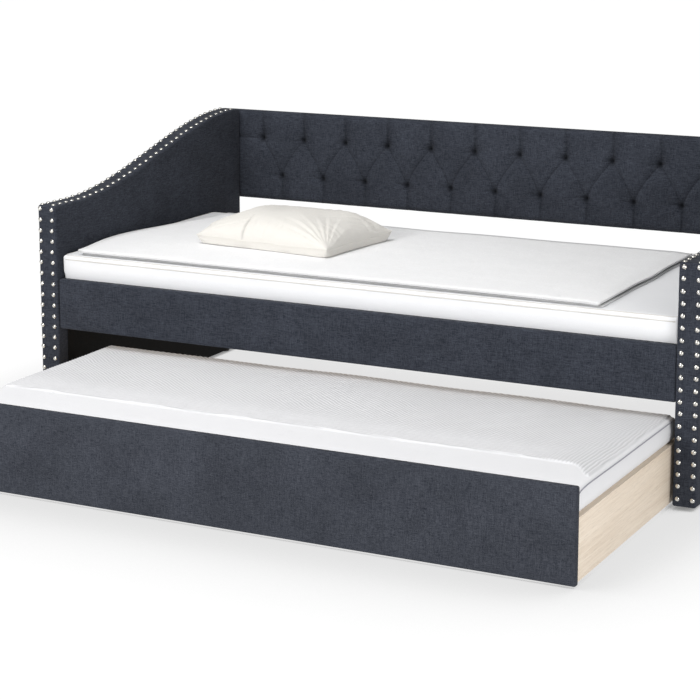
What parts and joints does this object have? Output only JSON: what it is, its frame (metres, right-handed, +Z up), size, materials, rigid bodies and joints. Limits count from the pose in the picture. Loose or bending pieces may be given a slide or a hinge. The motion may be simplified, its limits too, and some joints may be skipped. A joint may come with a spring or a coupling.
{
  "type": "daybed with trundle",
  "caption": "Upholstered daybed with S-curved padded arms, tufted back panel, nailhead trim and a roll-out trundle bed on casters, made up with mattresses, a folded blanket and a pillow.",
  "frame": {"origin": "middle of the whole object's footprint at floor level, measured with the trundle pulled out as stored", "axes": "+X runs along the bed from the left arm to the right arm, -Y is the open front towards which the trundle rolls out, +Z is up"},
  "size_m": [2.164, 1.9192, 0.886],
  "materials": {
    "upholstery fabric": "dark blue-grey melange linen weave",
    "black lining": "black non-woven",
    "board": "raw particle board, hidden",
    "oak board": "light oak, satin",
    "slat wood": "planed pine, unfinished",
    "steel": "zinc plated",
    "glide plastic": "matt black",
    "wheel rubber": "matt dark grey",
    "mattress cover": "white knitted ticking, quilted in wavy ribs",
    "blanket": "white fleece",
    "pillow cover": "ivory cotton"
  },
  "bodies": {
    "frame": {"left_arm_core": "board", "left_arm_cover": "upholstery fabric", "left_arm_lining": "black lining", "left_front_glide": "glide plastic", "left_back_glide": "glide plastic", "right_arm_core": "board", "right_arm_cover": "upholstery fabric", "right_arm_lining": "black lining", "right_front_glide": "glide plastic", "right_back_glide": "glide plastic", "back_panel_pad": "upholstery fabric", "back_panel_core": "board", "back_panel_rear_cloth": "upholstery fabric", "front_rail_core": "board", "front_rail_cover": "upholstery fabric", "back_rail_core": "board", "back_rail_cover": "upholstery fabric", "front_ledger": "slat wood", "back_ledger": "slat wood", "centre_beam": "slat wood", "slat_01": "slat wood", "slat_02": "slat wood", "slat_03": "slat wood", "slat_04": "slat wood", "slat_05": "slat wood", "slat_06": "slat wood", "slat_07": "slat wood", "slat_08": "slat wood", "slat_09": "slat wood", "slat_10": "slat wood", "slat_11": "slat wood", "bracket_front_left": "steel", "bracket_front_right": "steel", "bracket_back_left": "steel", "bracket_back_right": "steel", "mattress": "mattress cover", "folded_blanket": "blanket", "pillow": "pillow cover"},
    "trundle": {"trundle_front_cover": "upholstery fabric", "trundle_front_core": "board", "trundle_left_board": "oak board", "trundle_right_board": "oak board", "trundle_back_board": "oak board", "trundle_base": "slat wood", "trundle_mattress": "mattress cover", "caster_front_left_fork": "steel", "caster_front_left_axle": "steel", "caster_front_right_fork": "steel", "caster_front_right_axle": "steel", "caster_back_left_fork": "steel", "caster_back_left_axle": "steel", "caster_back_right_fork": "steel", "caster_back_right_axle": "steel"},
    "caster_front_left_wheel": {"caster_front_left_wheel": "wheel rubber"},
    "caster_front_right_wheel": {"caster_front_right_wheel": "wheel rubber"},
    "caster_back_left_wheel": {"caster_back_left_wheel": "wheel rubber"},
    "caster_back_right_wheel": {"caster_back_right_wheel": "wheel rubber"}
  },
  "joints": [
    {"name": "trundle_slide", "type": "slide", "parent": "frame", "child": "trundle", "axis": [0, -1, 0], "range_m": [-0.722, 0.35]},
    {"name": "caster_front_left_roll", "type": "hinge", "parent": "trundle", "child": "caster_front_left_wheel", "pos_m": [-0.923, -0.8726, 0.03], "axis": [1, 0, 0], "continuous": true},
    {"name": "caster_front_right_roll", "type": "hinge", "parent": "trundle", "child": "caster_front_right_wheel", "pos_m": [0.923, -0.8726, 0.03], "axis": [1, 0, 0], "continuous": true},
    {"name": "caster_back_left_roll", "type": "hinge", "parent": "trundle", "child": "caster_back_left_wheel", "pos_m": [-0.923, -0.2226, 0.03], "axis": [1, 0, 0], "continuous": true},
    {"name": "caster_back_right_roll", "type": "hinge", "parent": "trundle", "child": "caster_back_right_wheel", "pos_m": [0.923, -0.2226, 0.03], "axis": [1, 0, 0], "continuous": true}
  ],
  "couplings": [
    {"joint": "caster_front_left_roll", "follows": "trundle_slide", "rad_per_m": 33.333},
    {"joint": "caster_front_right_roll", "follows": "trundle_slide", "rad_per_m": 33.333},
    {"joint": "caster_back_left_roll", "follows": "trundle_slide", "rad_per_m": 33.333},
    {"joint": "caster_back_right_roll", "follows": "trundle_slide", "rad_per_m": 33.333}
  ]
}
